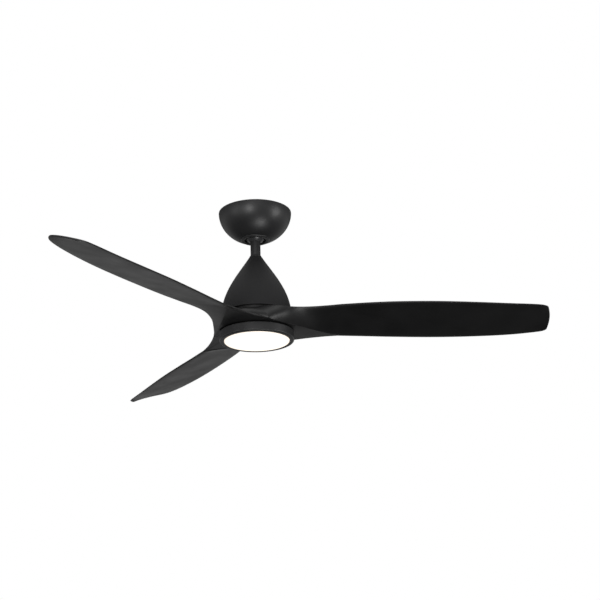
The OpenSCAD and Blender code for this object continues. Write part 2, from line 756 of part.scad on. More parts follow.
module lens() {
    steps = 14;
    cap_r = (lens_r * lens_r + lens_bulge * lens_bulge) / (2 * lens_bulge);
    cap_z = light_low_z - lens_bulge + cap_r;
    cap_a = asin(lens_r / cap_r);
    inner_r = cap_r - lens_wall;
    inner_a = asin((lens_r - lens_wall) / inner_r);
    color("#fff1d6") {
        rotate_extrude() polygon(concat(
            [for (i = [0:steps]) let (a = i * cap_a / steps) [cap_r * sin(a), cap_z - cap_r * cos(a)]],
            [[lens_r, lens_top_z], [lens_r - lens_wall, lens_top_z]],
            [for (i = [steps:-1:0]) let (a = i * inner_a / steps)
                [inner_r * sin(a), cap_z - inner_r * cos(a)]]));
        for (i = [0:lug_n - 1]) rotate([0, 0, i * 360 / lug_n])
            translate([lens_r - 1, -lug_w / 2, lens_top_z - lug_h])
                cube([lug_out - lens_r + 1, lug_w, lug_h]);
    }
}

// ---------- Assembly ----------

hanger_bracket();
canopy();
canopy_screws();
canopy_trim_ring();
receiver_case();
receiver_cover();
wire_connectors();
ground_screw();
hanger_ball();
ball_cross_pin();
ball_set_screw();
downrod();
rod_leads();
neck_collar();
motor_yoke();
clevis_pin();
cotter_pin();
yoke_set_screws();
motor_cover();
cover_screws();
motor_shaft();
stator_core();
stator_windings();
spacer_sleeves();
controller_board();
bearing_inner_races();
retaining_rings();
light_plate();
shaft_nut();
light_housing();
light_screws();
led_drivers();
led_tray();
tray_screws();
led_board();
led_chips();
upper_bell();
lower_bell();
bell_screws();
flux_ring();
magnets();
bearing_outer_races();
bearing_balls();
rotor_hub();
hub_plate();
hub_screws();
blade(0);  // blade_1
blade(1);  // blade_2
blade(2);  // blade_3
blade_screws();
lens();
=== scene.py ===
"""Looks of a three-blade ceiling fan with an LED light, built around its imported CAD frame.

The origin is on the fan's axis in the plane of the ceiling and +Z is up. Shapes are worked out in
millimetres from the height of the blades and become metres where a mesh is made.
"""
import json
import math

import bmesh
import bpy
from mathutils import Matrix, Vector


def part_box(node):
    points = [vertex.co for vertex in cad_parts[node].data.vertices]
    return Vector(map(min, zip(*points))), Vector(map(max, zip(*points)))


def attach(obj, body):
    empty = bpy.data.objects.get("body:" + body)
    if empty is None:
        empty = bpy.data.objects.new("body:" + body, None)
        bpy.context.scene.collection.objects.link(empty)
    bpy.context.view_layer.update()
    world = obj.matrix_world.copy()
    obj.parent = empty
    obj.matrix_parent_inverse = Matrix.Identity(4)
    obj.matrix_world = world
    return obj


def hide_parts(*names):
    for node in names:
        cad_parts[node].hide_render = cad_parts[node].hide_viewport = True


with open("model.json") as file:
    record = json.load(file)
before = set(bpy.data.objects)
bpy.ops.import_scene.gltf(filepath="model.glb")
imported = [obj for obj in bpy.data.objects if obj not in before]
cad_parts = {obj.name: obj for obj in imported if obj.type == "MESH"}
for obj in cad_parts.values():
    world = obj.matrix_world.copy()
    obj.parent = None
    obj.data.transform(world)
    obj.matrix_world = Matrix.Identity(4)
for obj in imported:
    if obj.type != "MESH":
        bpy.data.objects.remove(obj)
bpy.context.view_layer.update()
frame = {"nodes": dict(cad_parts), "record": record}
scene = bpy.context.scene

# ---------- Driving dimensions, in millimetres ----------
MM = 0.001
BLADES = 3
SIDES = 160                                          # steps around a turned piece
COVER_BASE = 23.5                                    # the cover's lower edge above the blades
BLADE_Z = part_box("motor_cover")[0].z / MM - COVER_BASE  # height of the blade plane
TIP_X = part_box("blade_1")[1].x / MM
LIGHT_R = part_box("light_housing")[1].x / MM
LIGHT_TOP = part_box("light_housing")[1].z / MM
LIGHT_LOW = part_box("light_housing")[0].z / MM
LENS_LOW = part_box("lens")[0].z / MM
CANOPY_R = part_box("canopy")[1].x / MM
CANOPY_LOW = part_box("canopy")[0].z / MM
TRIM_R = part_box("canopy_trim_ring")[1].x / MM
TRIM_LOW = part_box("canopy_trim_ring")[0].z / MM
ROD_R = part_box("downrod")[1].x / MM
ROD_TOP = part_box("downrod")[1].z / MM
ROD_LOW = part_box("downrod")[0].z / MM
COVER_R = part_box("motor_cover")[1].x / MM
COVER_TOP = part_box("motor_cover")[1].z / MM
COVER_TOP_R = 15.3


# ---------- Small tools ----------

def lerp(a, b, t):
    """The point or value a share t of the way from a to b."""
    return a + (b - a) * t


def smooth(t):
    """A soft step from 0 to 1."""
    t = min(max(t, 0.0), 1.0)
    return t * t * (3 - 2 * t)


def spline(points, s):
    """Smooth curve through equally spaced points, at s from 0 to the last point's index."""
    last = len(points) - 1
    i = min(int(s), last - 1)
    t = s - i
    a, b = points[i], points[i + 1]
    slope_a = (b - points[i - 1]) / 2 if i else b - a
    slope_b = (points[i + 2] - a) / 2 if i + 2 <= last else b - a
    t2, t3 = t * t, t * t * t
    return (a * (2 * t3 - 3 * t2 + 1) + slope_a * (t3 - 2 * t2 + t)
            + b * (3 * t2 - 2 * t3) + slope_b * (t3 - t2))


def curve_through(table, x):
    """Height of the smooth curve through a table of (x, value) rows."""
    last = len(table) - 1
    i = 0
    while i < last - 1 and x > table[i + 1][0]:
        i += 1
    (xa, a), (xb, b) = table[i], table[i + 1]

    def slope(j):
        j0, j1 = max(j - 1, 0), min(j + 1, last)
        return (table[j1][1] - table[j0][1]) / (table[j1][0] - table[j0][0])

    w = xb - xa
    t = (x - xa) / w
    t2, t3 = t * t, t * t * t
    return (a * (2 * t3 - 3 * t2 + 1) + slope(i) * w * (t3 - 2 * t2 + t)
            + b * (3 * t2 - 2 * t3) + slope(i + 1) * w * (t3 - t2))


def rounded(points, radius, steps=4):
    """A closed outline of (x, y) points with its corners rounded."""
    out = []
    n = len(points)
    for i, p in enumerate(points):
        corner = Vector(p)
        before = Vector(points[i - 1]) - corner
        after = Vector(points[(i + 1) % n]) - corner
        cut = min(radius, before.length * 0.45, after.length * 0.45)
        a = corner + before.normalized() * cut
        b = corner + after.normalized() * cut
        for j in range(steps + 1):
            t = j / steps
            out.append(tuple(a * (1 - t) ** 2 + corner * 2 * t * (1 - t) + b * t * t))
    return out


def make_piece(name, points, faces, body, slot, replaces=(), sharp=35):
    """An object from points in millimetres that rides on a body and wears its slot's material."""
    mesh = bpy.data.meshes.new(name)
    mesh.from_pydata([Vector(p) * MM for p in points], [], faces)
    work = bmesh.new()
    work.from_mesh(mesh)
    bmesh.ops.remove_doubles(work, verts=work.verts, dist=1e-6)
    bmesh.ops.dissolve_degenerate(work, edges=work.edges, dist=1e-7)
    bmesh.ops.recalc_face_normals(work, faces=work.faces)
    work.to_mesh(mesh)
    work.free()
    mesh.shade_smooth()
    mesh.set_sharp_from_angle(angle=math.radians(sharp))
    obj = bpy.data.objects.new(name, mesh)
    scene.collection.objects.link(obj)
    mesh.materials.append(MATERIALS[slot])
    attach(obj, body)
    if replaces:
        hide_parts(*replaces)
    return obj


def turned(profile, sides=SIDES, at=(0, 0)):
    """Points and faces of a closed outline of (radius, height) turned about the axis."""
    n = len(profile)
    points = []
    for i in range(sides):
        a = 2 * math.pi * i / sides
        points += [(at[0] + r * math.cos(a), at[1] + r * math.sin(a), z) for r, z in profile]
    faces = [(i * n + j, (i + 1) % sides * n + j, (i + 1) % sides * n + (j + 1) % n, i * n + (j + 1) % n)
             for i in range(sides) for j in range(n)]
    return points, faces


def merged(parts):
    """Several (points, faces) lists as one."""
    points, faces = [], []
    for p, f in parts:
        base = len(points)
        points += list(p)
        faces += [tuple(base + i for i in face) for face in f]
    return points, faces


# ---------- Materials ----------
# Sockets of a Mix node that mixes colours
COLOUR_A, COLOUR_B, COLOUR_RESULT = 6, 7, 2


def new_material(name, colour, roughness, metallic=0.0, specular=0.5):
    """A material with its node tree and shader."""
    mat = bpy.data.materials.new(name)
    mat.use_nodes = True
    tree = mat.node_tree
    shader = tree.nodes["Principled BSDF"]
    shader.inputs["Base Color"].default_value = (*colour, 1)
    shader.inputs["Roughness"].default_value = roughness
    shader.inputs["Metallic"].default_value = metallic
    shader.inputs["Specular IOR Level"].default_value = specular
    return mat, tree, shader


def add(tree, kind, **inputs):
    """A new node, with values for its inputs by name."""
    node = tree.nodes.new(kind)
    for key, value in inputs.items():
        node.inputs[key.replace("_", " ")].default_value = value
    return node


def place(tree):
    """Position on the object, which stays put as the object moves."""
    return tree.nodes.new("ShaderNodeTexCoord").outputs["Object"]


def noise(tree, scale, detail=3.0, rough=0.55, stretch=None):
    """Noise fixed to the object, stretched along its axes on request."""
    node = add(tree, "ShaderNodeTexNoise", Scale=scale, Detail=detail, Roughness=rough)
    if stretch:
        mapping = add(tree, "ShaderNodeMapping", Scale=stretch)
        tree.links.new(place(tree), mapping.inputs["Vector"])
        tree.links.new(mapping.outputs["Vector"], node.inputs["Vector"])
    else:
        tree.links.new(place(tree), node.inputs["Vector"])
    return node.outputs["Fac"]


def ramp(tree, factor, stops):
    """A colour ramp from (position, colour) stops."""
    node = tree.nodes.new("ShaderNodeValToRGB")
    elements = node.color_ramp.elements
    while len(elements) < len(stops):
        elements.new(0.5)
    for element, (position, colour) in zip(elements, stops):
        element.position = position
        element.color = (*colour, 1)
    tree.links.new(factor, node.inputs["Fac"])
    return node.outputs["Color"]


def spread(tree, factor, low, high):
    """The factor's middle range stretched to run from low to high."""
    node = add(tree, "ShaderNodeMapRange")
    node.inputs["From Min"].default_value = 0.3
    node.inputs["From Max"].default_value = 0.7
    node.inputs["To Min"].default_value = low
    node.inputs["To Max"].default_value = high
    tree.links.new(factor, node.inputs["Value"])
    return node.outputs["Result"]


def bumps(tree, shader, layers):
    """Stacks (height, strength, distance in millimetres) layers of bump on the shader."""
    before = None
    for height, strength, distance in layers:
        node = add(tree, "ShaderNodeBump", Strength=strength, Distance=distance * MM)
        tree.links.new(height, node.inputs["Height"])
        if before:
            tree.links.new(before, node.inputs["Normal"])
        before = node.outputs["Normal"]
    tree.links.new(before, shader.inputs["Normal"])


def scaled(colour, k):
    """The colour made k times as bright."""
    return tuple(min(1.0, c * k) for c in colour)


def coating(name, colour, roughness, specular, grain, depth, worn=1.35):
    """Paint or moulded plastic: a fine texture, slow mottling and slightly paler edges."""
    mat, tree, shader = new_material(name, colour, roughness, specular=specular)
    slow = noise(tree, 14)
    fine = noise(tree, grain, detail=2.0)
    tone = ramp(tree, slow, [(0.3, scaled(colour, 0.86)), (0.7, scaled(colour, 1.14))])
    edge = ramp(tree, tree.nodes.new("ShaderNodeNewGeometry").outputs["Pointiness"],
                [(0.51, (0, 0, 0)), (0.58, (1, 1, 1))])
    mix = tree.nodes.new("ShaderNodeMix")
    mix.data_type = "RGBA"
    tree.links.new(edge, mix.inputs["Factor"])
    tree.links.new(tone, mix.inputs[COLOUR_A])
    mix.inputs[COLOUR_B].default_value = (*scaled(colour, worn), 1)
    tree.links.new(mix.outputs[COLOUR_RESULT], shader.inputs["Base Color"])
    tree.links.new(spread(tree, slow, roughness - 0.04, roughness + 0.05), shader.inputs["Roughness"])
    bumps(tree, shader, [(fine, 0.3, depth), (slow, 0.04, depth * 4)])
    return mat


def metal(name, colour, roughness, brush=(1, 1, 1), grain=240, depth=0.03):
    """Bare metal with a directional grain and uneven polish."""
    mat, tree, shader = new_material(name, colour, roughness, metallic=1.0)
    lines = noise(tree, grain, detail=4.0, stretch=brush)
    slow = noise(tree, 35)
    tone = ramp(tree, slow, [(0.3, scaled(colour, 0.86)), (0.7, scaled(colour, 1.06))])
    tree.links.new(tone, shader.inputs["Base Color"])
    tree.links.new(spread(tree, lines, roughness - 0.06, roughness + 0.1), shader.inputs["Roughness"])
    bumps(tree, shader, [(lines, 0.3, depth)])
    return mat


def zinc(name, colour):
    """Zinc plate: metal with the pale spangle of its crystals."""
    mat, tree, shader = new_material(name, colour, 0.34, metallic=1.0)
    cells = add(tree, "ShaderNodeTexVoronoi", Scale=260.0)
    tree.links.new(place(tree), cells.inputs["Vector"])
    tone = ramp(tree, cells.outputs["Distance"], [(0.0, scaled(colour, 1.1)), (0.9, scaled(colour, 0.8))])
    tree.links.new(tone, shader.inputs["Base Color"])
    tree.links.new(spread(tree, noise(tree, 60), 0.28, 0.44), shader.inputs["Roughness"])
    bumps(tree, shader, [(noise(tree, 420), 0.2, 0.02)])
    return mat


def layered(name, colour, period, metallic=1.0, roughness=0.4):
    """Stacked sheets or wound wire: fine ridges along the axis."""
    mat, tree, shader = new_material(name, colour, roughness, metallic=metallic)
    wave = add(tree, "ShaderNodeTexWave", Scale=math.pi / 10 / (period * MM), Distortion=0.6)
    wave.bands_direction = "Z"
    tree.links.new(place(tree), wave.inputs["Vector"])
    tone = ramp(tree, wave.outputs["Fac"], [(0.1, scaled(colour, 0.5)), (0.6, scaled(colour, 1.1))])
    tree.links.new(tone, shader.inputs["Base Color"])
    bumps(tree, shader, [(wave.outputs["Fac"], 0.6, period * 0.3), (noise(tree, 300), 0.15, 0.02)])
    return mat


def board(name, colour, trace):
    """Solder mask with straight traces under it."""
    mat, tree, shader = new_material(name, colour, 0.38)
    bricks = add(tree, "ShaderNodeTexBrick", Scale=160.0)
    bricks.inputs["Color1"].default_value = (*colour, 1)
    bricks.inputs["Color2"].default_value = (*scaled(colour, 0.85), 1)
    bricks.inputs["Mortar"].default_value = (*trace, 1)
    bricks.inputs["Mortar Size"].default_value = 0.03
    tree.links.new(place(tree), bricks.inputs["Vector"])
    tree.links.new(bricks.outputs["Color"], shader.inputs["Base Color"])
    bumps(tree, shader, [(bricks.outputs["Fac"], 0.3, 0.04), (noise(tree, 500), 0.1, 0.02)])
    return mat


def phosphor(name, colour):
    """Yellow LED package with a softly uneven surface."""
    mat, tree, shader = new_material(name, colour, 0.3)
    tone = ramp(tree, noise(tree, 900), [(0.3, scaled(colour, 0.9)), (0.7, scaled(colour, 1.1))])
    tree.links.new(tone, shader.inputs["Base Color"])
    tree.links.new(tone, shader.inputs["Emission Color"])
    shader.inputs["Emission Strength"].default_value = 0.6
    bumps(tree, shader, [(noise(tree, 1500), 0.2, 0.02)])
    return mat


def opal(name, middle, rim, radius):
    """Lit opal acrylic: warm white, a little warmer towards its rim."""
    mat, tree, shader = new_material(name, (0.5, 0.48, 0.44), 0.32)
    flat = add(tree, "ShaderNodeVectorMath")
    flat.operation = "MULTIPLY"
    flat.inputs[1].default_value = (1 / (radius * MM), 1 / (radius * MM), 0)
    tree.links.new(place(tree), flat.inputs[0])
    length = tree.nodes.new("ShaderNodeVectorMath")
    length.operation = "LENGTH"
    tree.links.new(flat.outputs["Vector"], length.inputs[0])
    glow = ramp(tree, length.outputs["Value"], [(0.0, middle), (0.72, scaled(middle, 0.985)), (0.97, rim)])
    tree.links.new(glow, shader.inputs["Emission Color"])
    shader.inputs["Emission Strength"].default_value = 1.0
    tree.links.new(spread(tree, noise(tree, 30), 0.28, 0.36), shader.inputs["Roughness"])
    bumps(tree, shader, [(noise(tree, 700), 0.1, 0.02)])
    return mat


BLACK = (0.025, 0.025, 0.026)
MATERIALS = {
    "black_paint": coating("black_powder_coat", scaled(BLACK, 0.7), 0.42, 0.46, grain=1100, depth=0.02),
    "cover_paint": coating("black_matte_coat", scaled(BLACK, 0.7), 0.6, 0.2, grain=1100, depth=0.02),
    "black_trim": coating("black_moulded_trim", scaled(BLACK, 0.8), 0.42, 0.4, grain=1600, depth=0.012),
    "blade_black": coating("black_blade_plastic", scaled(BLACK, 0.18), 0.44, 0.46, grain=800, depth=0.025),
    "zinc_steel": zinc("zinc_plate", (0.62, 0.63, 0.65)),
    "black_screw": metal("black_oxide", (0.05, 0.05, 0.053), 0.45),
    "ball_nylon": coating("black_nylon", scaled(BLACK, 1.6), 0.34, 0.5, grain=900, depth=0.02),
    "receiver_plastic": coating("dark_moulding", (0.03, 0.03, 0.032), 0.5, 0.4, grain=900, depth=0.05),
    "connector_plastic": coating("amber_plastic", (0.75, 0.42, 0.1), 0.35, 0.5, grain=600, depth=0.05,
                                 worn=1.1),
    "ground_green": metal("green_steel", (0.07, 0.32, 0.11), 0.4),
    "lead_insulation": coating("lead_insulation", (0.7, 0.7, 0.67), 0.45, 0.5, grain=500, depth=0.03,
                               worn=1.05),
    "core_steel": layered("laminated_steel", (0.4, 0.4, 0.41), period=0.5),
    "copper_wire": layered("enamelled_copper", (0.62, 0.24, 0.09), period=0.8, roughness=0.28),
    "bearing_steel": metal("ground_steel", (0.72, 0.73, 0.75), 0.16, brush=(1, 1, 12)),
    "cast_aluminium": metal("cast_aluminium", (0.6, 0.61, 0.63), 0.42, grain=520, depth=0.06),
    "ferrite": coating("ferrite", (0.055, 0.055, 0.06), 0.55, 0.5, grain=700, depth=0.06),
    "circuit_board": board("green_solder_mask", (0.02, 0.16, 0.06), (0.1, 0.42, 0.16)),
    "white_board": board("white_solder_mask", (0.82, 0.81, 0.77), (0.7, 0.69, 0.64)),
    "led_phosphor": phosphor("yellow_phosphor", (0.95, 0.78, 0.3)),
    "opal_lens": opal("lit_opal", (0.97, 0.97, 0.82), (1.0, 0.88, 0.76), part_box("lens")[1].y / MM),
}


def dress_cad_nodes():
    """Every CAD node wears its slot's material, and those rebuilt below are hidden later."""
    slots = {row["node"]: row["material_slot"] for row in frame["record"]["subparts"]}
    for name, obj in frame["nodes"].items():
        obj.data.materials.clear()
        obj.data.materials.append(MATERIALS[slots[name]])


# ---------- Canopy and rod ----------

def canopy():
    """A bowl, open at the ceiling, with a flat floor round its mouth."""
    mouth, floor_r, wall, bulge, rim_h = 27.0, 35.8, 1.4, 1.2, 0.25
    depth = 2.5 - CANOPY_LOW
    waist = mouth - 2.4

    def bowl(r, h, limit):
        out = []
        for i in range(61):
            a = math.pi / 2 * i / 60
            z = -h * math.sin(a)
            if z > limit:
                out.append((waist + (r - waist) * math.cos(a) ** bulge, z))
        return out

    outer = bowl(CANOPY_R, depth, CANOPY_LOW) + [(floor_r, CANOPY_LOW)]
    inner = bowl(CANOPY_R - wall, depth - wall, CANOPY_LOW + wall) + [(floor_r, CANOPY_LOW + wall)]
    rim = [(CANOPY_R - wall * 0.5, 0)]
    lip = [(mouth + 0.3, CANOPY_LOW), (mouth, CANOPY_LOW + 0.4), (mouth, CANOPY_LOW + wall)]
    outer[0] = (CANOPY_R - 0.15, -rim_h)
    inner[0] = (CANOPY_R - wall, -rim_h)
    shell = turned(rim + outer + lip + inner[::-1])
    make_piece("canopy_bowl", *shell, "ceiling_mount", "black_paint", ["canopy"])


def trim_ring():
    """The ring that snaps over the canopy's screws."""
    top, low, inner = CANOPY_LOW, TRIM_LOW, 26.0
    outline = [(inner, top), (inner, low + 0.9), (inner + 1, low), (TRIM_R - 2.2, low), (TRIM_R, low + 1.9),
               (TRIM_R, top), (TRIM_R - 1.2, top), (TRIM_R - 1.2, low + 1.6), (inner + 1.4, low + 1.6),
               (inner + 1.4, top)]
    ring = turned(rounded(outline, 0.7))
    make_piece("trim_ring", *ring, "ceiling_mount", "black_trim", ["canopy_trim_ring"])


def rod():
    """The downrod, with its rolled ends."""
    wall = 2.0
    outline = [(ROD_R, ROD_LOW), (ROD_R, ROD_TOP), (ROD_R - wall, ROD_TOP), (ROD_R - wall, ROD_LOW)]
    make_piece("rod", *turned(rounded(outline, 0.5), 96), "hanging", "black_paint", ["downrod"])


def collar():
    """Seal between the rod and the top of the motor cover."""
    top = COVER_TOP + 4
    outline = [(ROD_R + 0.05, COVER_TOP), (COVER_TOP_R - 0.4, COVER_TOP), (COVER_TOP_R - 1.4, top - 1),
               (ROD_R + 1, top), (ROD_R + 0.05, top)]
    make_piece("neck_seal", *turned(rounded(outline, 0.5), 96), "hanging", "black_trim", ["neck_collar"])


def cover():
    """The ogive cover of the motor, with its inner ledge. Its curve has two handles between its ends."""
    wall = 2.4
    base = BLADE_Z + COVER_BASE
    handles = [Vector((COVER_TOP_R, COVER_TOP)), Vector((COVER_TOP_R + 24.2, COVER_TOP - 40)),
               Vector((COVER_R + 0.3, base + 54.5)), Vector((COVER_R, base))]

    def ogive(t):
        a, b, c, d = handles
        return a * (1 - t) ** 3 + b * 3 * t * (1 - t) ** 2 + c * 3 * t * t * (1 - t) + d * t ** 3

    steps = 72
    outer = [tuple(ogive(i / steps)) for i in range(1, steps)]
    inner = [(x - wall, y) for x, y in outer if y < COVER_TOP - 4]
    top = [(ROD_R + 0.9, COVER_TOP - 0.4), (ROD_R + 1.3, COVER_TOP), (COVER_TOP_R - 0.5, COVER_TOP),
           (COVER_TOP_R, COVER_TOP - 0.3)]
    foot = [(COVER_R, base + 0.5), (COVER_R - 0.4, base), (COVER_R - wall + 0.3, base),
            (COVER_R - wall, base + 0.4)]
    shell = turned(top + outer + foot + inner[::-1] + [(ROD_R + 0.9, COVER_TOP - 2.4)])
    ledge_top = BLADE_Z + 114
    ledge_low = ledge_top - 2
    ledge_in, ledge_out = 22, 49.5
    ledge = turned(rounded([(ledge_in, ledge_low), (ledge_out, ledge_low), (ledge_out, ledge_top),
                            (ledge_in, ledge_top)], 0.3))
    make_piece("cover_shell", *merged([shell, ledge]), "hanging", "cover_paint", ["motor_cover"])


# ---------- Blades ----------
# In the frame of blade 1, from the blade plane. A row runs from the leading edge to the crease under the
# blade and to the trailing edge. The first rows wrap round the hub and the last one is where crease and
# trailing edge meet.
HUB_R = 79.5                                         # where the blades end, under the motor cover
WEB_Z = -18.3                                        # flat underside of the root
HUB_EDGE_Z = 17.0                                    # where one blade's root meets the next
HUB_TOP_Z = 17.6                                     # between two such places
ROOT_LEAD = [(0, -79.5, 17), (30, -80, 19.8), (58, -80.5, 18.6), (84, -79.8, 15.7), (110, -76, 16),
             (136, -75.6, 16.6), (165, -79.4, 17), (196, -86, 17.3)]
ROOT_CREASE = [(28.2, -101.15, -17.5), (39, -90, -18.3), (55, -74.5, -18.3), (78, -53.5, -18.3),
               (107, -31, -18.3), (137, -5, -18.3), (168, 22, -18), (196, 40, -17.5)]
ROOT_TRAIL = [(73.5, 75, -17.5), (103, 62.7, -15.5), (120, 56.8, -15.5), (139, 51, -15.8), (158, 46.2, -16.4),
              (177, 42.5, -16.9), (196, 40, -17.5)]
# Beyond the root: each edge's distance from the blade's axis, and its height, at a distance along the blade
LEAD_Y = [(196, 86), (262, 96.1), (323, 102.2), (414, 106.6), (505, 105.6), (597, 99.4), (650, 92.8),
          (686, 82.5)]
TRAIL_Y = [(196, 40), (262, 40.5), (323, 41.7), (414, 41.1), (505, 35.8), (597, 27.2), (650, 20.2),
           (686, 13)]
LEAD_Z = [(196, 17.3), (262, 17.1), (323, 16.6), (414, 14.4), (505, 11.1), (597, 8.4), (686, 8)]
TRAIL_Z = [(196, -17.5), (262, -19.9), (323, -22), (414, -24.6), (505, -26.3), (597, -26.2), (686, -22.5)]
ROOT_HALF_T = 4.6                                    # half the blade's thickness
TIP_HALF_T = 2.2
TIP_BOW = 21.0                                       # how far the tip's edge falls back from its front
TIP_FOREMOST = 0.66                                  # share of the chord at which that point lies
LEAD_CORNER = (24.0, 12.0)                           # length and width of the tip's rounded corners
TRAIL_CORNER = (16.0, 14.0)
SIDE_BULGE = 9.0                                     # how far the wall at the root swells outwards
CROWN = 1.5                                          # how far the middle of a row arches upwards
SIDE_STEPS = 20                                      # columns from the leading edge to the crease
TOP_STEPS = 40                                       # columns across the top
KEY_STEPS = 6                                        # rows between two rows of the tables
TO_NEXT_BLADE = Matrix.Rotation(math.radians(360 / BLADES), 3, "Z")


def spaced(n):
    """Shares of a width, closer together near both ends."""
    return [(1 - math.cos(math.pi * i / n)) / 2 for i in range(n + 1)]


def corner_cut(x, corner):
    """How far a rounded corner of the tip has pulled the edge in at x."""
    length, width = corner
    over = max(0.0, (x - TIP_X) / length + 1)
    return width * (1 - math.sqrt(max(0.0, 1 - over * over)))


def tip_pull(x, v):
    """How far the bow of the tip moves a point back along the blade."""
    return TIP_BOW * (v - TIP_FOREMOST) ** 2 * (x / TIP_X) ** 12


def fullness(v):
    """Share of the half thickness at a share v of the way from edge to edge."""
    return (1 - abs(2 * v - 1) ** 6) ** 0.5


def arch(v):
    """How far a row arches upwards at a share v of its width."""
    return CROWN * 4 * v * (1 - v)


def swell(share):
    """Bulge of the wall at the root, outwards between two blades, at a share of its height."""
    out = SIDE_BULGE * 4 * share * (1 - share)
    return Vector((0.5 * out, -0.866 * out, 0))


def blade_rows():
    """Rows along a blade: (key, leading, crease, trailing); key is 7 beyond the root."""
    lead = [Vector(p) for p in ROOT_LEAD]
    crease = [Vector(p) for p in ROOT_CREASE]
    trail = [Vector(p) for p in ROOT_TRAIL]
    last = len(lead) - 1
    hub_point = TO_NEXT_BLADE @ lead[0]
    rows = []
    for q in spaced(SIDE_STEPS)[:-1]:
        rows.append((q, spline(lead, q), spline(crease, q), lerp(hub_point, trail[0], q)))
    for i in range(KEY_STEPS * (last - 1) + 1):
        s = 1 + i / KEY_STEPS
        rows.append((s, spline(lead, s), spline(crease, s), spline(trail, s - 1)))
    start = lead[-1].x
    shoulder = TIP_X - 30
    xs = [start + (shoulder - start) * i / 36 for i in range(1, 37)]
    xs += [shoulder + 30 * math.sin(math.pi / 2 * i / 14) for i in range(1, 15)]
    for x in xs:
        front = Vector((x, corner_cut(x, LEAD_CORNER) - curve_through(LEAD_Y, x), curve_through(LEAD_Z, x)))
        back = Vector((x, curve_through(TRAIL_Y, x) - corner_cut(x, TRAIL_CORNER), curve_through(TRAIL_Z, x)))
        rows.append((float(last), front, back, back))
    return rows, float(last)


def blade_skin():
    """Top and side of one blade as lists of rows of points, and the rows they come from, in the frame of
    blade 1.
    """
    rows, last = blade_rows()
    hub_a = rows[0][1]
    hub_b = rows[0][3]
    fade_end = last - 1
    top, side = [], []
    for s, lead, crease, trail in rows:
        share = min(1.0, max(0.0, (lead.x - 100) / (TIP_X - 100)))
        tip_round = math.sqrt(max(0.0, 1 - max(0.0, (lead.x - TIP_X + 3) / 3) ** 2))
        half = lerp(ROOT_HALF_T, TIP_HALF_T, share) * tip_round
        wrap = 1 - smooth(s / fade_end)
        reach = max(lead.x, trail.x)
        row = []
        for v in spaced(TOP_STEPS):
            a = math.radians(-90 + 120 * v)
            near_edge = min(smooth(v / 0.2), smooth((1 - v) / 0.33))
            hub = Vector((HUB_R * math.cos(a), HUB_R * math.sin(a), lerp(HUB_EDGE_Z, HUB_TOP_Z, near_edge)))
            p = lerp(lead, trail, v) + (hub - lerp(hub_a, hub_b, v)) * wrap
            rise = (half * fullness(v) + arch(v)) * (1 - wrap)
            p += Vector((-tip_pull(reach, v), 0, rise))
            if s < 1:
                p += TO_NEXT_BLADE @ swell(s) * smooth(2 * v - 1)
            row.append(p)
        top.append(row)
        row = []
        low_share = smooth((s - 2.5) / (last - 2.5))
        for v in spaced(SIDE_STEPS):
            p = lerp(lead, crease, v)
            p += swell(v) * (1 - smooth((s - 0.9) / 3.4))
            p += Vector((-tip_pull(reach, v), 0, (arch(v) - half * fullness(v)) * low_share))
            row.append(p)
        side.append(row)
    return top, side, rows


def grid_faces(index, rows, columns, flip=False):
    """Faces of a grid of points whose numbers index(row, column) gives."""
    faces = []
    for i in range(rows - 1):
        for j in range(columns - 1):
            quad = (index(i, j), index(i + 1, j), index(i + 1, j + 1), index(i, j + 1))
            faces.append(quad[::-1] if flip else quad)
    return faces


def blades():
    """Three blades that flow into each other round the hub, each a closed solid of its own."""
    top, side, rows = blade_skin()
    points = [p for row in top for p in row]
    faces = grid_faces(lambda i, j: i * (TOP_STEPS + 1) + j, len(top), TOP_STEPS + 1)
    base = len(points)
    points += [p for row in side for p in row]
    faces += grid_faces(lambda i, j: base + i * (SIDE_STEPS + 1) + j, len(side), SIDE_STEPS + 1, True)
    # Strip from the trailing edge down to the web
    meet = next(i for i, r in enumerate(rows) if (r[2] - r[3]).length < 1e-6)
    inset = 1.6
    inner, outer = [], []
    for i in range(SIDE_STEPS, meet + 1):
        crease, trail = rows[i][2], rows[i][3]
        gap = crease - trail
        inward = gap.normalized() * min(inset, gap.length) if gap.length else gap
        low = trail + inward
        low.z = min(trail.z, max(WEB_Z, lerp(trail.z, WEB_Z, min(1.0, (trail.z - WEB_Z)))))
        inner.append(low)
        outer.append(trail)
    inner[0] = outer[0].copy()
    base = len(points)
    points += outer + inner
    n = len(outer)
    faces += [(base + i, base + i + 1, base + n + i + 1, base + n + i) for i in range(n - 1)]
    # Web: the flat underside between the crease, the trailing edge and the hub
    arc = [Vector((HUB_R * math.cos(a), HUB_R * math.sin(a), WEB_Z))
           for a in (math.radians(-90 + 120 * v) for v in spaced(TOP_STEPS))]
    base = len(points)
    loop = [rows[i][2] for i in range(0, meet)] + inner[::-1] + arc[::-1]
    points += loop
    faces.append(tuple(range(base, base + len(loop))))
    # Wall round the hub
    base = len(points)
    points += arc + top[0]
    m = len(arc)
    faces += [(base + i, base + i + 1, base + m + i + 1, base + m + i) for i in range(m - 1)]
    # Two ends, where the neighbouring blades begin
    base = len(points)
    points += [arc[0], arc[-1]] + side[0] + [top[i][-1] for i in range(SIDE_STEPS + 1)]
    fan = base + 2
    for j in range(SIDE_STEPS):
        faces.append((base, fan + j, fan + j + 1))
        faces.append((base + 1, fan + SIDE_STEPS + 2 + j, fan + SIDE_STEPS + 1 + j))
    for k in range(BLADES):
        turn = Matrix.Rotation(2 * math.pi * k / BLADES, 3, "Z")
        placed = [turn @ p + Vector((0, 0, BLADE_Z)) for p in points]
        name, node = f"swept_blade_{k + 1}", f"blade_{k + 1}"
        make_piece(name, placed, faces, "rotor", "blade_black", [node], sharp=40)


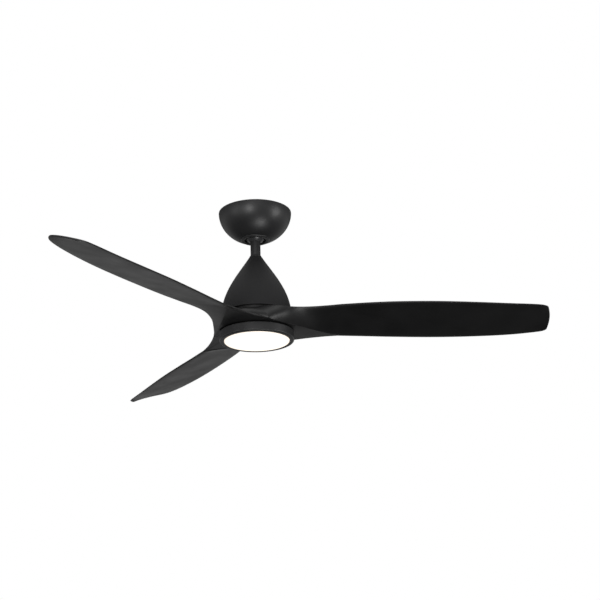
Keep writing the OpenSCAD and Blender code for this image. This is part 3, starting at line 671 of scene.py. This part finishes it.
def hub():
    """Deck, barrel and screw posts that carry the blades, and a black lip that stands up inside the cover:
    painted shade, a dark piece that hides the lit motor bells so the gap under the cover reads dark.
    """
    deck_top, deck_low, low = BLADE_Z + 20.5, BLADE_Z + 14.5, BLADE_Z - 14
    deck_in, deck_out = 59.5, 76.5
    # Painted shade: the lip stands in for the shade in the gap between the cover and the blades, and hides
    # the lit motor bells.
    shade_lip_in, shade_lip_top = deck_out - 1.6, deck_top + 6.5
    barrel_in, barrel_out = 70.5, 74.5
    posts, post_ring, bore, post_r = 6, 65.2, 2.05, 4.4
    deck = [(deck_in, deck_low), (deck_in, deck_top), (shade_lip_in, deck_top), (shade_lip_in, shade_lip_top),
            (deck_out, shade_lip_top), (deck_out, deck_low), (barrel_out, deck_low - 1), (barrel_out, low),
            (barrel_in, low), (barrel_in, deck_low)]
    parts = [turned(rounded(deck, 0.6))]
    post = rounded([(bore, low), (post_r, low), (post_r, deck_low), (bore, deck_low)], 0.3)
    for i in range(posts):
        a = 2 * math.pi * i / posts
        parts.append(turned(post, 32, (post_ring * math.cos(a), post_ring * math.sin(a))))
    make_piece("hub_deck", *merged(parts), "rotor", "blade_black", ["rotor_hub"])


# ---------- Light ----------

def light_ring():
    """The round housing of the light, with a soft lower edge and a step that the lens sits in."""
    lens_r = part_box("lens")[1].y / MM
    seat = lens_r + 0.9
    top, low, ledge = LIGHT_TOP, LIGHT_LOW, LIGHT_LOW + 3.7
    wall, bore, edge_r, edge_steps = 2, 15, 3.5, 12
    outline = [(bore, top), (LIGHT_R - 0.8, top), (LIGHT_R, top - 0.8)]
    for i in range(edge_steps + 1):
        a = math.pi / 2 * i / edge_steps
        outline.append((LIGHT_R - edge_r + edge_r * math.cos(a), low + edge_r - edge_r * math.sin(a)))
    outline += [(seat + 0.5, low), (seat, low + 0.5), (seat, ledge), (LIGHT_R - wall, ledge),
                (LIGHT_R - wall, top - wall), (bore, top - wall)]
    make_piece("light_ring", *turned(outline, 192), "hanging", "black_trim", ["light_housing"])


def lens():
    """A shallow opal cap with three lugs that lock it in the housing."""
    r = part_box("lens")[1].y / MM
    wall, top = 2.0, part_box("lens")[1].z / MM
    bulge = LIGHT_LOW - LENS_LOW
    cap_r = (r * r + bulge * bulge) / (2 * bulge)
    centre = LENS_LOW + cap_r
    lugs, lug_r, lug_half, lug_t = 3, 80.3, 5, 2
    steps = 40
    outer, inner = [], []
    for i in range(steps + 1):
        a = math.asin((r - 0.6) / cap_r) * i / steps
        outer.append((cap_r * math.sin(a), centre - cap_r * math.cos(a)))
        a = math.asin((r - wall) / (cap_r - wall)) * i / steps
        inner.append(((cap_r - wall) * math.sin(a), centre - (cap_r - wall) * math.cos(a)))
    skirt = [(r, outer[-1][1] + 0.7), (r, top - 0.3), (r - 0.3, top), (r - wall, top)]
    parts = [turned(outer + skirt + inner[::-1], 192)]
    for i in range(lugs):
        turn = Matrix.Rotation(math.radians(360 / lugs * i), 3, "Z")
        lug = rounded([(r - 1, -lug_half), (lug_r, -lug_half), (lug_r, lug_half), (r - 1, lug_half)], 1.2)
        n = len(lug)
        ring = [turn @ Vector((x, y, z)) for z in (top - lug_t, top) for x, y in lug]
        lug_faces = [tuple(range(n))[::-1], tuple(range(n, 2 * n))]
        lug_faces += [(j, (j + 1) % n, n + (j + 1) % n, n + j) for j in range(n)]
        parts.append((ring, lug_faces))
    make_piece("opal_cap", *merged(parts), "lens", "opal_lens", ["lens"])


# ---------- Room ----------

CAMERA_DISTANCE = 3.1453                              # metres from the centre of the hub
CAMERA_BELOW = 18.366                                # degrees below the blade plane
CAMERA_YAW = 1.873                                   # degrees that the view turns right of the axis
CAMERA_PITCH = 1.0202                                # degrees that it looks above the hub
CAMERA_ROLL = -0.9007
CAMERA_LENS = 80.273                                 # millimetres on a 36 mm wide sensor


def turned_pair(a, b, degrees):
    """Two square axes turned towards each other, a towards b."""
    t = math.radians(degrees)
    return a * math.cos(t) + b * math.sin(t), b * math.cos(t) - a * math.sin(t)


def camera():
    """Stands below the blades and looks up at them, a little to the left and rolled a little."""
    low = math.radians(CAMERA_BELOW)
    ahead = Vector((0, math.cos(low), math.sin(low)))
    up = Vector((0, -math.sin(low), math.cos(low)))
    right = Vector((1, 0, 0))
    place_at = Vector((0, 0, BLADE_Z * MM)) - ahead * CAMERA_DISTANCE
    ahead, right = turned_pair(ahead, right, CAMERA_YAW)
    ahead, up = turned_pair(ahead, up, CAMERA_PITCH)
    right, up = turned_pair(right, up, CAMERA_ROLL)
    data = bpy.data.cameras.new("camera")
    data.sensor_width = 36
    data.lens = CAMERA_LENS
    data.clip_end = 1000
    obj = bpy.data.objects.new("camera", data)
    axes = Matrix((right, up, -ahead)).transposed().to_4x4()
    obj.matrix_world = Matrix.Translation(place_at) @ axes
    scene.collection.objects.link(obj)
    scene.camera = obj


def floor():
    """A plain pale floor far below. It is seen, and does not light the fan."""
    mesh = bpy.data.meshes.new("floor")
    size, z = 400, -7
    corners = [(-size, -size, z), (size, -size, z), (size, size, z), (-size, size, z)]
    mesh.from_pydata(corners, [], [(0, 1, 2, 3)])
    obj = bpy.data.objects.new("floor", mesh)
    mat, _, shader = new_material("pale_floor", (0.86, 0.86, 0.85), 0.9, specular=0.2)
    shader.inputs["Emission Color"].default_value = (1, 1, 0.99, 1)
    shader.inputs["Emission Strength"].default_value = 0.3
    mesh.materials.append(mat)
    scene.collection.objects.link(obj)
    obj.visible_diffuse = False
    obj.visible_glossy = False


# Brightness that the fan sees, from straight below (0) through the horizon (0.5) to straight above (1)
SKY_GLOW = [(0.0, 0.02), (0.2, 0.03), (0.4, 0.42), (0.5, 0.6), (0.54, 0.45), (0.6, 0.12), (0.72, 0.12),
            (1.0, 1.2)]


def sky():
    """White all round for the camera; the fan sees it bright near the horizon and dim below."""
    world = bpy.data.worlds.new("studio")
    scene.world = world
    world.use_nodes = True
    tree = world.node_tree
    tree.nodes.clear()
    coords = tree.nodes.new("ShaderNodeTexCoord")
    split = tree.nodes.new("ShaderNodeSeparateXYZ")
    tree.links.new(coords.outputs["Generated"], split.inputs["Vector"])
    height = add(tree, "ShaderNodeMapRange")
    height.inputs["From Min"].default_value = -1
    height.inputs["From Max"].default_value = 1
    tree.links.new(split.outputs["Z"], height.inputs["Value"])
    stops = [(position, (level,) * 3) for position, level in SKY_GLOW]
    shade = ramp(tree, height.outputs["Result"], stops)
    lit = tree.nodes.new("ShaderNodeBackground")
    tree.links.new(shade, lit.inputs["Color"])
    white = tree.nodes.new("ShaderNodeBackground")
    white.inputs["Color"].default_value = (1, 1, 1, 1)
    path = tree.nodes.new("ShaderNodeLightPath")
    mix = tree.nodes.new("ShaderNodeMixShader")
    out = tree.nodes.new("ShaderNodeOutputWorld")
    tree.links.new(path.outputs["Is Camera Ray"], mix.inputs["Fac"])
    tree.links.new(lit.outputs["Background"], mix.inputs[1])
    tree.links.new(white.outputs["Background"], mix.inputs[2])
    tree.links.new(mix.outputs["Shader"], out.inputs["Surface"])


CANOPY_MIDDLE = (0, 0, -0.05)
# Name, place in metres, point aimed at, width, height and watts
STUDIO = [
    ("left_box", (-0.92, -2.85, -0.75), CANOPY_MIDDLE, 0.85, 0.85, 28),
    ("far_left_box", (-2.67, -1.47, -0.4), CANOPY_MIDDLE, 0.9, 0.9, 8),
    ("low_box", (0.78, -1.1, -2.75), CANOPY_MIDDLE, 0.9, 0.9, 25),
    ("right_box", (2.82, -1.01, -0.7), CANOPY_MIDDLE, 0.8, 1.3, 26),
    ("front_screen", (0, -4, 1.1), (0, 0, -0.2), 4, 1.4, 14),
]


def softbox(name, place_at, aim, width, height, power):
    """A soft rectangular light that the camera doesn't see."""
    data = bpy.data.lights.new(name, "AREA")
    data.shape = "RECTANGLE"
    data.size = width
    data.size_y = height
    data.energy = power
    obj = bpy.data.objects.new(name, data)
    obj.location = place_at
    obj.rotation_mode = "QUATERNION"
    obj.rotation_quaternion = (Vector(aim) - Vector(place_at)).to_track_quat("-Z", "Y")
    obj.visible_camera = False
    scene.collection.objects.link(obj)


dress_cad_nodes()
canopy()
trim_ring()
rod()
collar()
cover()
blades()
hub()
light_ring()
lens()
camera()
floor()
sky()
for light in STUDIO:
    softbox(*light)
scene.view_settings.view_transform = "Standard"
